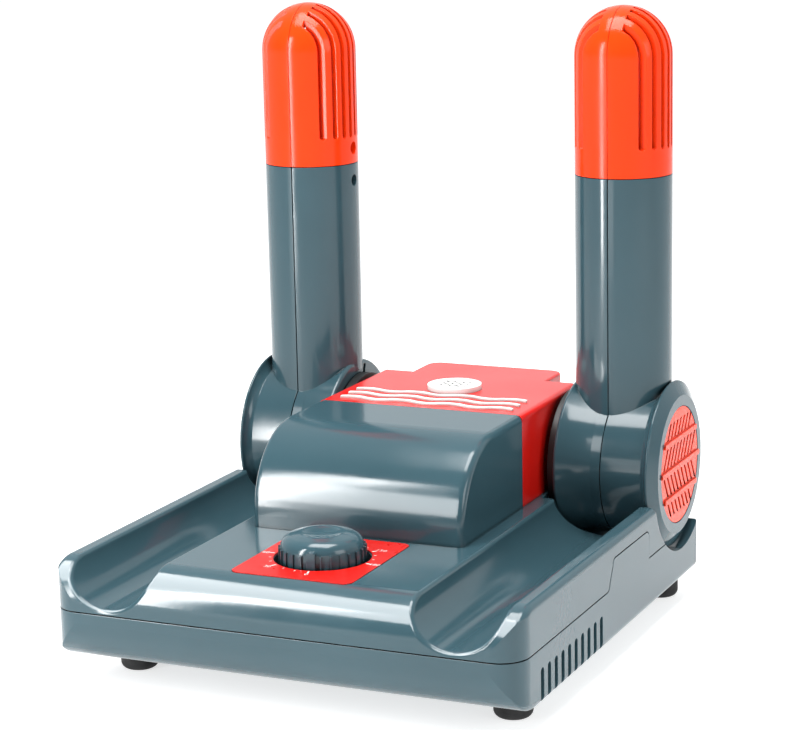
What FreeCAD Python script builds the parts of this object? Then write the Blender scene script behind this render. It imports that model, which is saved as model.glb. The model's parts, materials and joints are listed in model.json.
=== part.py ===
import FreeCAD, Part
import math
import os

import Sketcher

# Forced-air boot dryer: a floor unit with two hollow arms that fold down into cradles.
# +X is the user's right, +Y the rear, +Z up. The origin is the middle of the bounding box on the floor.

DIMENSIONS = {
    # case
    "case_width": 270, "case_front": -155, "case_rear": 136, "case_bottom": 16, "deck_height": 72,
    "case_corner": 16, "rear_corner": 2, "nose_roll": 21, "chin_roll": 24, "wall": 2.6,
    "parting_height": 46, "parting_gap": 0.7,
    "tab_height": 62, "tab_front": -15, "tab_lean": 5, "tab_rear": 46,
    "cradle_spacing": 199, "cradle_radius": 25.3, "cradle_height": 74.3, "cradle_edge": 2.4,
    "well_radius": 50.5, "well_inner": 66,
    "vent_first": -122.5, "vent_pitch": 9.8, "vent_count": 10, "vent_width": 4.6, "vent_top": 35.5,
    # hood and cover
    "hood_width": 127, "hood_front": -54.5, "hood_top": 125.5, "hood_roll": 46.5, "cover_front": 34.5,
    "cover_rear": 123.5, "grip_width": 88, "grip_rear": 155, "grip_underside": 101, "hood_edge": 4,
    # arms
    "pivot_rear": 106, "pivot_height": 86, "tube_radius": 28, "tube_wall": 2.5, "tube_top": 255,
    "cap_top": 351, "seam_gap": 0.3, "barrel_radius": 43, "flange_radius": 48.5, "flange_side": 129,
    "face_side": 133.7, "face_radius": 40.5, "grille_radius": 34, "rim_radius": 48, "rim_side": 72,
    "slot_width": 3, "slot_pitch": 6, "slot_bottom": 271, "slot_reach": 7,
    "spigot_radius": 20, "spigot_play": 0.06, "sleeve_radius": 13, "sleeve_bore": 11,
    # knob and timer
    "knob_place": -95.5, "knob_radius": 23.3, "knob_top": 86.2, "knob_bottom": 68, "cup_radius": 26,
    "cup_floor": 66.6, "plate_width": 70, "plate_front": -136.5, "plate_rear": -57.5, "rib_count": 27,
    "timer_shaft_radius": 3,
    # feet
    "foot_front_spacing": 222, "foot_front": -102.5, "foot_rear_spacing": 232, "foot_rear": 123.5,
    "foot_radius": 10.5,
    # blower and heater
    "blower_radius": 40, "blower_floor": 74, "blower_top": 104, "impeller_radius": 33, "motor_radius": 21,
    "shaft_radius": 2.5, "bearing_play": 0.05, "duct_left": -2, "duct_right": 40,
}

MARGIN = 6.0          # how far a cutting shape runs past the surface that it cuts
CLEAR = 0.2           # assembly clearance between neighbouring moulded pieces


class Size:
    """A length together with the spreadsheet formula that gives it."""

    def __init__(self, number, text=None):
        self.number = float(number)
        self.text = f"({number})" if text is None else text

    def __add__(self, other):
        other = size(other)
        return Size(self.number + other.number, f"({self.text} + {other.text})")

    def __sub__(self, other):
        other = size(other)
        return Size(self.number - other.number, f"({self.text} - {other.text})")

    def __mul__(self, other):
        other = size(other)
        return Size(self.number * other.number, f"({self.text} * {other.text})")

    def __truediv__(self, other):
        other = size(other)
        return Size(self.number / other.number, f"({self.text} / {other.text})")

    def __neg__(self):
        return Size(-self.number, f"(0 - {self.text})")

    def __radd__(self, other):
        return size(other) + self

    def __rsub__(self, other):
        return size(other) - self

    def __rmul__(self, other):
        return size(other) * self

    def root(self):
        return Size(math.sqrt(self.number), f"sqrt({self.text})")


def size(value):
    return value if isinstance(value, Size) else Size(value)


class Dimensions:
    """Gives each spreadsheet value as a Size, by its name."""

    def __getattr__(self, name):
        return Size(DIMENSIONS[name], f"dims.{name}")


D = Dimensions()
doc = FreeCAD.newDocument("boot_dryer")
sub_parts = []


def write_sheet():
    sheet = doc.addObject("Spreadsheet::Sheet", "dims")
    for row, (name, value) in enumerate(DIMENSIONS.items(), start=1):
        sheet.set(f"A{row}", name)
        sheet.set(f"B{row}", str(value))
        sheet.setAlias(f"B{row}", name)
    doc.recompute()


def bind(item, path, value):
    item.setExpression(path, size(value).text)


def keep(item, label):
    """Marks a finished object as a sub-part: its label names its file."""
    item.Label = label
    sub_parts.append(item)
    return item


# ---------------------------------------------------------------- sketches

def sketch_on(body, plane, level):
    """A sketch parallel to an origin plane of the body, at a level along X, Y or Z."""
    sketch = body.newObject("Sketcher::SketchObject", body.Name + "_sketch")
    origin_plane = next(item for item in body.Origin.OriginFeatures if item.Role == plane + "_Plane")
    sketch.AttachmentSupport = [(origin_plane, "")]
    sketch.MapMode = "FlatFace"
    bind(sketch, "AttachmentOffset.Base.z", -size(level) if plane == "XZ" else level)
    return sketch


def fix(sketch, kind, *arguments):
    """Adds a driving constraint whose last argument is a Size."""
    value = size(arguments[-1])
    index = sketch.addConstraint(Sketcher.Constraint(kind, *arguments[:-1], value.number))
    bind(sketch, f"Constraints[{index}]", value)


def outline(sketch, corners):
    """A closed outline. A corner is (x, y), or (x, y, radius) where the side that leaves it is an arc:
    a positive radius bends with its centre on the left of the side, a negative one on the right."""
    corners = [tuple(size(value) for value in corner) for corner in corners]
    first = sketch.GeometryCount
    starts, ends = [], []
    for index, corner in enumerate(corners):
        follower = corners[(index + 1) % len(corners)]
        start = FreeCAD.Vector(corner[0].number, corner[1].number, 0)
        end = FreeCAD.Vector(follower[0].number, follower[1].number, 0)
        if len(corner) == 2:
            sketch.addGeometry(Part.LineSegment(start, end), False)
            starts.append(1)
            ends.append(2)
            continue
        radius = abs(corner[2].number)
        turn = math.copysign(1.0, corner[2].number)
        chord = end - start
        left = FreeCAD.Vector(-chord.y, chord.x, 0).normalize()
        rise = math.sqrt(max(radius ** 2 - (chord.Length / 2) ** 2, 0))
        centre = (start + end) * 0.5 + left * (turn * rise)
        angles = [math.atan2(point.y - centre.y, point.x - centre.x) for point in (start, end)]
        if turn < 0:
            angles.reverse()
        circle = Part.Circle(centre, FreeCAD.Vector(0, 0, 1), radius)
        sketch.addGeometry(Part.ArcOfCircle(circle, angles[0], angles[1]), False)
        starts.append(1 if turn > 0 else 2)
        ends.append(2 if turn > 0 else 1)
    for index, corner in enumerate(corners):
        follower = (index + 1) % len(corners)
        join = (first + index, ends[index], first + follower, starts[follower])
        sketch.addConstraint(Sketcher.Constraint("Coincident", *join))
        fix(sketch, "DistanceX", -1, 1, first + index, starts[index], corner[0])
        fix(sketch, "DistanceY", -1, 1, first + index, starts[index], corner[1])
        if len(corner) == 3:
            radius = corner[2] if corner[2].number > 0 else -corner[2]
            fix(sketch, "Radius", first + index, radius)


def circle(sketch, across, up, radius):
    across, up, radius = size(across), size(up), size(radius)
    centre = FreeCAD.Vector(across.number, up.number, 0)
    index = sketch.addGeometry(Part.Circle(centre, FreeCAD.Vector(0, 0, 1), radius.number), False)
    fix(sketch, "DistanceX", -1, 1, index, 3, across)
    fix(sketch, "DistanceY", -1, 1, index, 3, up)
    fix(sketch, "Radius", index, radius)


def rectangle(sketch, left, right, low, high):
    outline(sketch, [(left, low), (right, low), (right, high), (left, high)])


def rounded_rectangle(sketch, left, right, low, high, corner):
    left, right, low, high, corner = (size(value) for value in (left, right, low, high, corner))
    outline(sketch, [
        (left + corner, low), (right - corner, low, corner),
        (right, low + corner), (right, high - corner, corner),
        (right - corner, high), (left + corner, high, corner),
        (left, high - corner), (left, low + corner, corner)])


# ---------------------------------------------------------------- PartDesign bodies

def new_body(name, place=None):
    body = doc.addObject("PartDesign::Body", name)
    body.AllowCompound = True
    for axis, value in zip("xyz", place or ()):
        bind(body, f"Placement.Base.{axis}", value)
    return body


def pad(body, plane, low, high, draw):
    """Adds material between two levels along the plane's normal axis."""
    sketch = sketch_on(body, plane, high if plane == "XZ" else low)
    draw(sketch)
    feature = body.newObject("PartDesign::Pad", body.Name + "_pad")
    feature.Profile = sketch
    bind(feature, "Length", size(high) - low)
    return feature


def pocket(body, plane, low, high, draw):
    """Removes material between two levels along the plane's normal axis."""
    sketch = sketch_on(body, plane, low if plane == "XZ" else high)
    draw(sketch)
    doc.recompute()
    before = body.Tip.Shape.Volume
    feature = body.newObject("PartDesign::Pocket", body.Name + "_pocket")
    feature.Profile = sketch
    bind(feature, "Length", size(high) - low)
    doc.recompute()
    if feature.Shape.Volume >= before - 0.01:
        raise RuntimeError(f"{feature.Name} removes nothing")
    return feature


def revolve(body, corners, about="vertical", cut=False):
    """Turns an outline about the sketch's vertical axis (body Z), or its horizontal axis (body X).
    Corners are (radius, height) about the vertical axis, and (distance, radius) about the horizontal one."""
    sketch = sketch_on(body, "XZ", 0)
    outline(sketch, corners)
    kind = "PartDesign::Groove" if cut else "PartDesign::Revolution"
    feature = body.newObject(kind, body.Name + "_turned")
    feature.Profile = sketch
    feature.ReferenceAxis = (sketch, ["V_Axis" if about == "vertical" else "H_Axis"])
    doc.recompute()
    return feature


def repeat(body, feature, axis, spacing, count):
    """A linear pattern of one feature along an origin axis of the body."""
    pattern = body.newObject("PartDesign::LinearPattern", body.Name + "_row")
    pattern.Originals = [feature]
    line = next(item for item in body.Origin.OriginFeatures if item.Role == axis + "_Axis")
    pattern.Direction = (line, [""])
    bind(pattern, "Length", size(spacing) * (size(count) - 1))
    bind(pattern, "Occurrences", count)
    body.Tip = pattern
    doc.recompute()
    return pattern


def around(body, feature, count, angle=360):
    """A polar pattern of one feature about the body's Z axis."""
    pattern = body.newObject("PartDesign::PolarPattern", body.Name + "_ring")
    pattern.Originals = [feature]
    line = next(item for item in body.Origin.OriginFeatures if item.Role == "Z_Axis")
    pattern.Axis = (line, [""])
    pattern.Angle = angle
    bind(pattern, "Occurrences", count)
    body.Tip = pattern
    doc.recompute()
    return pattern


def round_edges(body, radius, wanted):
    """Rounds the edges of the body's tip that the test picks out."""
    doc.recompute()
    base = body.Tip
    names = [f"Edge{i}" for i, edge in enumerate(base.Shape.Edges, start=1) if wanted(edge)]
    if not names:
        raise RuntimeError(f"{body.Name}: no edge to round")
    feature = body.newObject("PartDesign::Fillet", body.Name + "_round")
    feature.Base = (base, names)
    bind(feature, "Radius", radius)
    doc.recompute()
    return feature


def along(edge, axis):
    """True when a straight edge runs along an axis."""
    if edge.Curve.TypeId != "Part::GeomLine":
        return False
    direction = edge.tangentAt(edge.FirstParameter)
    return abs(getattr(direction, axis)) > 0.999


def turned(label, corners, place=(0, 0, 0)):
    """A sub-part turned about a vertical axis at a place."""
    body = new_body(label, place)
    revolve(body, corners)
    return keep(body, label)


# ---------------------------------------------------------------- Part primitives and booleans

def box(name, left, right, front, rear, low, high):
    item = doc.addObject("Part::Box", name)
    for path, value in (
            ("Length", size(right) - left), ("Width", size(rear) - front), ("Height", size(high) - low),
            ("Placement.Base.x", left), ("Placement.Base.y", front), ("Placement.Base.z", low)):
        bind(item, path, value)
    return item


TURN_TO = {"X": FreeCAD.Rotation(FreeCAD.Vector(0, 1, 0), 90),
           "Y": FreeCAD.Rotation(FreeCAD.Vector(1, 0, 0), -90),
           "Z": FreeCAD.Rotation()}


def cylinder(name, axis, place, radius, length):
    """A cylinder that runs from a place along +X, +Y or +Z."""
    item = doc.addObject("Part::Cylinder", name)
    item.Placement = FreeCAD.Placement(FreeCAD.Vector(), TURN_TO[axis])
    bind(item, "Radius", radius)
    bind(item, "Height", length)
    for letter, value in zip("xyz", place):
        bind(item, f"Placement.Base.{letter}", value)
    return item


def cut(name, base, tool):
    item = doc.addObject("Part::Cut", name)
    item.Base = base
    item.Tool = tool
    return item


def join(name, items):
    item = doc.addObject("Part::MultiFuse", name)
    item.Shapes = items
    return item


def overlap(name, first, second):
    item = doc.addObject("Part::MultiCommon", name)
    item.Shapes = [first, second]
    return item


def mirrored(source, label):
    """The same piece on the other side of the middle plane."""
    item = doc.addObject("Part::Mirroring", label)
    item.Source = source
    item.Normal = (1, 0, 0)
    return item


def both_sides(name, item):
    return join(name, [item, mirrored(item, name + "_mirror")])


def mirrored_sub_part(source, label):
    return keep(mirrored(source, label), label)


# ---------------------------------------------------------------- case

def case_block(name, inset):
    """The outside form of the whole case, or the same form inset on every side."""
    side = D.case_width / 2 - inset
    front, rear = D.case_front + inset, D.case_rear - inset
    low, high = D.case_bottom + inset, D.deck_height - inset
    nose, chin = D.nose_roll - inset, D.chin_roll - inset
    body = new_body(name)
    pad(body, "YZ", -side, side, lambda sketch: outline(sketch, [
        (front + chin, low), (rear, low), (rear, high), (front + nose, high, nose),
        (front, high - nose), (front, low + chin, chin)]))
    if inset == 0:
        def top_side_edge(edge):
            return along(edge, "y") and abs(edge.CenterOfMass.z - high.number) < 0.1
        round_edges(body, 4, top_side_edge)

    corner = D.case_corner - inset

    def corners_outside(sketch):
        rectangle(sketch, -side - MARGIN, side + MARGIN, front - MARGIN, rear + MARGIN)
        outline(sketch, [(corner - side, front), (side - corner, front, corner), (side, front + corner),
                         (side, rear), (-side, rear), (-side, front + corner, corner)])
    pocket(body, "XY", low - MARGIN, high + MARGIN, corners_outside)
    if inset == 0:
        def rear_upright_edge(edge):
            return along(edge, "z") and edge.CenterOfMass.y > rear.number - 0.1
        round_edges(body, D.rear_corner, rear_upright_edge)
    return body


def cradles_and_wells(name, extra):
    """The space of both cradles and both drum wells, grown by the wall where it shapes the inside."""
    cradle = cylinder(name + "_cradle", "Y", (D.cradle_spacing / 2, D.case_front - MARGIN, D.cradle_height),
                      D.cradle_radius + extra, D.pivot_rear - D.case_front + MARGIN)
    well = cylinder(name + "_well", "X", (D.well_inner - extra, D.pivot_rear, D.pivot_height),
                    D.well_radius + extra, D.case_width / 2 - D.well_inner + extra + MARGIN)
    return both_sides(name, join(name + "_right", [cradle, well]))


def side_tab(name, grow):
    """The raised tab of the lower case in each side wall, with its leaning front shoulder."""
    front, rear = D.tab_front - grow, D.tab_rear
    low, high = D.parting_height - 2, D.tab_height + grow
    foot = D.parting_height - D.parting_gap / 2 + grow
    heel, crest, corner = front - D.tab_lean, 4, 5
    body = new_body(name)
    pad(body, "YZ", D.case_width / 2 - D.wall - 1, D.case_width / 2 + 2, lambda sketch: outline(sketch, [
        (heel - crest, low), (rear, low), (rear, high - corner, corner), (rear - corner, high),
        (front + crest, high, crest), (front, high - crest), (heel, foot + crest, -crest), (heel - crest, foot)]))
    return both_sides(name + "_pair", body)


CASE_SCREWS = ((58, -118), (56, -8), (55, 118))
FOOT_PLACES = (("front", D.foot_front_spacing / 2, D.foot_front),
               ("rear", D.foot_rear_spacing / 2, D.foot_rear))
FOOT_STEM = 3.5


def case_posts(name, radius, low, high):
    """A round post, or a hole, at each of the six case screws."""
    body = new_body(name)

    def circles(sketch):
        for across, back in CASE_SCREWS:
            circle(sketch, across, back, radius)
            circle(sketch, -across, back, radius)
    pad(body, "XY", low, high, circles)
    return body


def build_case():
    outside = cut("case_outside", case_block("case_form", 0), cradles_and_wells("cradle_space", 0))
    inside = cut("case_inside", case_block("case_room", D.wall), cradles_and_wells("cradle_skin", D.wall))
    shell = cut("case_shell", outside, inside)
    half_gap = D.parting_gap / 2
    side, front, rear = D.case_width / 2 + MARGIN, D.case_front - MARGIN, D.case_rear + MARGIN

    # lower case: tray, side tabs, locating lip, screw posts, side vents
    below = join("lower_region", [
        box("lower_box", -side, side, front, rear, 0, D.parting_height - half_gap), side_tab("lower_tab", 0)])
    lip = cut("lip", cut("lip_ring", case_block("lip_outside", D.wall), case_block("lip_inside", D.wall + 1.6)),
              cradles_and_wells("lip_relief", D.wall + CLEAR))
    lip = overlap("lip_band", lip, box("lip_slice", -side, side, front, rear, D.parting_height - 8,
                                       D.parting_height + 2.6))
    posts = case_posts("lower_posts", 5, D.case_bottom + 1, D.parting_height)
    foot_pads = both_sides("foot_pads", join("foot_pads_right", [
        cylinder(f"foot_pad_{row}", "Z", (across, back, D.case_bottom + 1), 8, 5)
        for row, across, back in FOOT_PLACES]))
    tray = join("tray", [overlap("tray_shell", shell, below), lip, posts, foot_pads])
    slots = join("lower_openings", [
        side_vents("right_vents"), mirrored(doc.getObject("right_vents"), "left_vents"),
        case_posts("screw_holes", 1.7, D.case_bottom - 1, D.parting_height + 1),
        case_posts("screw_recesses", 3.4, D.case_bottom - 1, D.case_bottom + 3.2),
        foot_holes(), cord_hole()])
    keep(cut("lower_case", tray, slots), "lower_case")

    # upper case: deck, cradles, wells, knob cup, dial recess, screw posts, air openings
    above = join("upper_cutter", [
        box("upper_cut_box", -side, side, front, rear, 0, D.parting_height + half_gap),
        side_tab("upper_tab", D.parting_gap)])
    deck = cut("deck_shell", shell, above)
    cup = cylinder("cup", "Z", (0, D.knob_place, D.cup_floor - D.wall), D.cup_radius + D.wall,
                   D.deck_height - D.cup_floor + D.wall - 1)
    upper_posts = case_posts("upper_posts", 4.5, D.parting_height + 0.7, D.deck_height - 1)
    openings = join("upper_openings", [
        cylinder("cup_room", "Z", (0, D.knob_place, D.cup_floor), D.cup_radius, MARGIN * 2),
        cylinder("cup_hole", "Z", (0, D.knob_place, D.cup_floor - MARGIN), 5.1, MARGIN * 2),
        dial_recess(),
        box("deck_opening", -52, 52, -46, 116, D.deck_height - MARGIN, D.deck_height + 1),
        case_posts("upper_screw_holes", 1.4, D.parting_height, D.deck_height - 6)])
    moulding = cut("deck_moulding", join("deck_with_posts", [deck, cup, upper_posts]), openings)
    keep(round_cradles("upper_case", moulding), "upper_case")


def round_cradles(name, moulding):
    """Rounds the long edges of the cradles, over the nose and down into the wells."""
    doc.recompute()

    def bore_radii(edge):
        faces = moulding.Shape.ancestorsOfType(edge, Part.Face)
        tubes = [face.Surface for face in faces if face.Surface.TypeId == "Part::GeomCylinder"]
        return [round(tube.Radius, 3) for tube in tubes]
    cradle = D.cradle_radius.number
    radius = D.cradle_edge.number
    chosen = []
    for index, edge in enumerate(moulding.Shape.Edges, start=1):
        radii = bore_radii(edge)
        above_front_wall = edge.BoundBox.ZMax > D.case_bottom.number + 35
        if cradle in radii and radii.count(cradle) < 2 and above_front_wall:
            chosen.append((index, radius, radius))
    item = doc.addObject("Part::Fillet", name)
    item.Base = moulding
    item.Edges = chosen
    return item


def side_vents(name):
    """Ten intake slots in one side wall, open at the bottom edge and round at the top."""
    body = new_body(name)
    half, low, high = D.vent_width / 2, D.case_bottom - 1, D.vent_top - D.vent_width / 2
    slot = pad(body, "YZ", D.case_width / 2 - 7, D.case_width / 2 + 1, lambda sketch: outline(sketch, [
        (D.vent_first - half, low), (D.vent_first + half, low), (D.vent_first + half, high, half),
        (D.vent_first, D.vent_top, half), (D.vent_first - half, high)]))
    repeat(body, slot, "Y", D.vent_pitch, D.vent_count)
    return body


def dial_recess():
    body = new_body("dial_recess")
    half = D.plate_width / 2 + 0.15
    pad(body, "XY", D.deck_height - 0.6, D.deck_height + 2, lambda sketch: rounded_rectangle(
        sketch, -half, half, D.plate_front - 0.15, D.plate_rear + 0.15, 5))
    return body


def foot_holes():
    holes = [cylinder(f"foot_hole_{row}", "Z", (across, back, D.case_bottom - 1), FOOT_STEM, MARGIN * 2)
             for row, across, back in FOOT_PLACES]
    return both_sides("foot_holes", join("foot_holes_right", holes))


CORD_PLACE = (-40, 29)
CORD_HOLE_RADIUS = 6


def cord_hole():
    return cylinder("cord_hole", "Y", (CORD_PLACE[0], D.case_rear - MARGIN, CORD_PLACE[1]), CORD_HOLE_RADIUS,
                    MARGIN * 2)


def build_feet():
    """Rubber feet: a round pad with a rolled lower edge, and a stem pressed into the tray."""
    radius, roll = D.foot_radius, 4
    profile = [(0, 0), (radius - roll, 0, roll), (radius, roll), (radius, D.case_bottom),
               (FOOT_STEM, D.case_bottom), (FOOT_STEM, D.case_bottom + 6), (0, D.case_bottom + 6)]
    for row, across, back in FOOT_PLACES:
        right = turned(f"foot_{row}_right", profile, (across, back, 0))
        mirrored_sub_part(right, f"foot_{row}_left")


# ---------------------------------------------------------------- hood, cover, marks

def build_hood():
    side, front, top, roll = D.hood_width / 2, D.hood_front, D.hood_top, D.hood_roll
    rear = D.cover_front - 0.3

    def block(name, inset, rear_edge):
        body = new_body(name)
        low = D.deck_height if inset == 0 else D.deck_height - 1
        pad(body, "YZ", -(side - inset), side - inset, lambda sketch: outline(sketch, [
            (front + inset, low), (rear_edge, low), (rear_edge, top - inset),
            (front + roll, top - inset, roll - inset), (front + inset, top - roll)]))
        return body
    outside = block("hood_outside", 0, rear)

    def side_edge(edge):
        at_side = abs(abs(edge.CenterOfMass.x) - side.number) < 0.1
        return at_side and edge.BoundBox.YMin < rear.number - 1 and edge.CenterOfMass.z > D.deck_height.number + 1
    round_edges(outside, D.hood_edge, side_edge)
    shell = cut("hood_shell", outside, block("hood_inside", D.wall, rear + MARGIN))
    posts = cover_posts("hood_posts", -25, D.hood_top - 6.5)
    keep(join("front_hood", [shell, posts]), "front_hood")


def cover_posts(name, back, top):
    """A pair of screw posts that hang from the shell's roof and stand on the deck."""
    across, radius = 56, 4
    body = new_body(name)

    def circles(sketch):
        circle(sketch, across, back, radius)
        circle(sketch, -across, back, radius)
    pad(body, "XY", D.deck_height, top, circles)
    return body


def build_cover():
    """The red cover: an arched shell with a grip that overhangs at the rear, hollow from below."""
    side, top = D.hood_width / 2, D.hood_top

    def form(name, inset, front, rear, low):
        body = new_body(name)
        pad(body, "XY", low, top - inset, lambda sketch: rectangle(
            sketch, -side + inset, side - inset, front, rear))
        return body
    outside = form("cover_outside", 0, D.cover_front, D.cover_rear, D.deck_height)
    half = D.grip_width / 2
    pad(outside, "XY", D.grip_underside, top, lambda sketch: rounded_rectangle(
        sketch, -half, half, D.cover_rear - 20, D.grip_rear, 8))

    def long_top_edge(edge):
        return along(edge, "y") and abs(edge.CenterOfMass.z - top.number) < 0.1 and (
            abs(abs(edge.CenterOfMass.x) - side.number) < 0.1)
    round_edges(outside, 3, long_top_edge)

    def grip_top_edge(edge):
        return abs(edge.CenterOfMass.z - top.number) < 0.1 and edge.BoundBox.YMax > D.cover_rear.number + 0.1
    round_edges(outside, 1.5, grip_top_edge)
    room = form("cover_room", D.wall, D.cover_front - MARGIN, D.cover_rear - D.wall, D.deck_height - 1)
    finger_room = new_body("finger_room")
    pad(finger_room, "XY", D.grip_underside - 1, top - 3, lambda sketch: rounded_rectangle(
        sketch, -half + 3, half - 3, D.cover_rear + 0.5, D.grip_rear - 3, 5))
    ports = cylinder("cover_ports", "X", (-side - MARGIN, D.pivot_rear, D.pivot_height), D.sleeve_radius + CLEAR,
                     side * 2 + MARGIN * 2)
    shell = cut("cover_shell", outside, join("cover_cuts", [room, finger_room, ports]))
    posts = cover_posts("cover_screw_posts", 52, top - 1)
    keep(join("top_cover", [shell, posts]), "top_cover")


def wave_face(left, right, middle, thickness, arch):
    """A flat wavy bar along X, made of equal arcs that bend up and down in turn."""
    count = 7
    span = (right - left) / count
    radius = span * span / (8 * arch) + arch / 2
    lower, upper = [], []
    for index in range(count):
        turn = 1 if index % 2 == 0 else -1
        start = left + span * index
        for edge, shift in ((lower, -thickness / 2), (upper, thickness / 2)):
            centre_height = middle + turn * (arch - radius)
            edge_radius = radius + turn * shift
            ends = [FreeCAD.Vector(start + span * step, middle + shift, 0) for step in (0, 0.5, 1)]
            ends[1].y = centre_height + turn * edge_radius
            edge.append(Part.Arc(*ends).toShape())
    half = thickness / 2
    caps = [Part.makeLine(FreeCAD.Vector(x, middle - half, 0), FreeCAD.Vector(x, middle + half, 0))
            for x in (left, right)]
    return Part.Face(Part.Wire(Part.__sortEdges__(lower + upper + caps)))


def build_marks():
    """Raised generic warm-air marks on the red cover: three wavy bars, and a disc with small waves."""
    top = DIMENSIONS["hood_top"]
    raise_by = 1.2
    bars = [wave_face(-54, 54, back, 2.6, 1.8).extrude(FreeCAD.Vector(0, 0, raise_by)) for back in (44, 55, 66)]
    waves = doc.addObject("Part::Feature", "warm_air_bars")
    waves.Shape = Part.makeCompound(bars)
    waves.Placement = FreeCAD.Placement(FreeCAD.Vector(0, 0, top), FreeCAD.Rotation())
    keep(waves, "warm_air_bars")

    slits = doc.addObject("Part::Feature", "disc_waves")
    cuts = [wave_face(-9, 9, back, 2.0, 1.0).extrude(FreeCAD.Vector(0, 0, 3)) for back in (-5, 0, 5)]
    slits.Shape = Part.makeCompound(cuts)
    slits.Placement = FreeCAD.Placement(FreeCAD.Vector(0, 87, top + 1.8), FreeCAD.Rotation())
    disc = cylinder("mark_disc_blank", "Z", (0, 87, D.hood_top), 16, 3)
    keep(cut("mark_disc", disc, slits), "mark_disc")


# ---------------------------------------------------------------- dial, knob, timer

POINTER_TURN = 10.7        # degrees from straight ahead towards the user's right


def build_dial():
    plate = new_body("dial_plate")
    half = D.plate_width / 2

    def shape(sketch):
        rounded_rectangle(sketch, -half, half, D.plate_front, D.plate_rear, 5)
        circle(sketch, 0, D.knob_place, D.cup_radius + 0.4)
    pad(plate, "XY", D.deck_height - 0.6, D.deck_height + 0.3, shape)
    keep(plate, "dial_plate")

    # the knob: skirt with thin grip ribs, rolled shoulder, shallow finger dish on top
    knob = new_body("knob_form", (0, D.knob_place, 0))
    radius, top, low = D.knob_radius, D.knob_top, D.knob_bottom
    revolve(knob, [(0, low), (radius, low), (radius - 0.8, top - 7, 7.5), (radius - 7, top - 0.9, 26),
                   (radius - 11, top, 8), (radius - 13.5, top - 0.4, -40), (0, top - 1.6)])
    rib = pad(knob, "XY", low, top - 7.4, lambda sketch: rectangle(sketch, radius - 2, radius + 0.45, -0.45, 0.45))
    around(knob, rib, D.rib_count)
    pointer = new_body("knob_pointer", (0, D.knob_place, 0))
    pad(pointer, "XZ", -radius - 1.1, -radius + 4, lambda sketch: outline(sketch, [
        (-2.4, low), (2.4, low), (2.4, top - 6), (1.6, top - 5), (-1.6, top - 5), (-2.4, top - 6)]))
    pointer.Placement.Rotation = FreeCAD.Rotation(FreeCAD.Vector(0, 0, 1), POINTER_TURN)
    hollow = cylinder("knob_bore", "Z", (0, D.knob_place, D.knob_bottom - 1), D.timer_shaft_radius, 12)
    keep(cut("timer_knob", join("knob_solid", [knob, pointer]), hollow), "timer_knob")

    shaft, shaft_low, shaft_top = D.timer_shaft_radius, 50.2, 79
    turned("timer_shaft", [(0, shaft_low), (shaft, shaft_low), (shaft, shaft_top), (0, shaft_top)],
           (0, D.knob_place, 0))
    timer = new_body("timer_body")
    pad(timer, "XY", 40, 63.6, lambda sketch: rounded_rectangle(
        sketch, -20, 20, D.knob_place - 17, D.knob_place + 17, 3))
    pad(timer, "XY", 63.6, D.cup_floor, lambda sketch: circle(sketch, 0, D.knob_place, 5))
    pocket(timer, "XY", 50, D.cup_floor + 1, lambda sketch: circle(
        sketch, 0, D.knob_place, D.timer_shaft_radius + D.bearing_play))
    keep(timer, "timer_body")


# ---------------------------------------------------------------- arms

def arm_body(name):
    return new_body(name, (0, D.pivot_rear, D.pivot_height))


SEAM = D.cradle_spacing / 2


def arm_solid(name, profile):
    """The outside of an elbow half, before it is hollowed: a turned drum half and the whole tube."""
    body = arm_body(name)
    rise = D.tube_top - D.pivot_height
    revolve(body, profile, "horizontal")
    pad(body, "XY", 0, rise, lambda sketch: circle(sketch, SEAM, 0, D.tube_radius))
    return body, rise


def hollow_arm(body, cavity, rise):
    revolve(body, cavity, "horizontal", cut=True)
    bore = D.tube_radius - D.tube_wall
    pocket(body, "XY", 0, rise + 1, lambda sketch: circle(sketch, SEAM, 0, bore))


def trim(body, low, high, rise):
    """Removes everything between two levels along X: the other half's side of the seam."""
    reach = D.flange_radius + MARGIN
    pocket(body, "YZ", low, high, lambda sketch: rectangle(sketch, -reach, reach, -reach, rise + MARGIN))


def build_outer_shell():
    barrel, flange, face = D.barrel_radius, D.flange_radius, D.face_side
    start, wall = SEAM - 10, D.tube_wall
    body, rise = arm_solid("right_outer_shell", [
        (start, 0), (face, 0), (face, D.face_radius), (D.flange_side + 0.8, flange - 0.4, 0.9),
        (D.flange_side - 0.8, flange, -9), (D.flange_side - 5, barrel + 0.6), (start, barrel)])
    hollow_arm(body, [
        (start - 1, 0), (face - 2.6, 0), (face - 2.6, 36), (D.flange_side - 6, barrel - wall),
        (start - 1, barrel - wall)], rise)
    # recess and air opening for the side grille
    pocket(body, "YZ", face - 1.8, face + 1, lambda sketch: circle(sketch, 0, 0, D.grille_radius + 0.4))
    pocket(body, "YZ", face - 5, face + 1, lambda sketch: circle(sketch, 0, 0, D.grille_radius - 4))
    trim(body, SEAM - D.tube_radius - MARGIN, SEAM + D.seam_gap, rise)
    # a lip behind the seam keeps the halves in line
    bore = D.tube_radius - D.tube_wall

    def strips(sketch):
        for edge in (1, -1):
            inner, outer = edge * (bore - 1.9), edge * (bore - 0.2)
            rectangle(sketch, SEAM - 2, SEAM + 4.5, inner if edge > 0 else outer, outer if edge > 0 else inner)
    pad(body, "XY", barrel + 1, rise - 14, strips)
    # the screw boss crosses the tube just inside its top end
    height = rise - 10
    pad(body, "YZ", SEAM + D.seam_gap, SEAM + bore + 0.6, lambda sketch: circle(sketch, 0, height, 4))
    pocket(body, "YZ", SEAM, SEAM + 14, lambda sketch: circle(sketch, 0, height, 1.2))
    return keep(body, "right_outer_shell")


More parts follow.
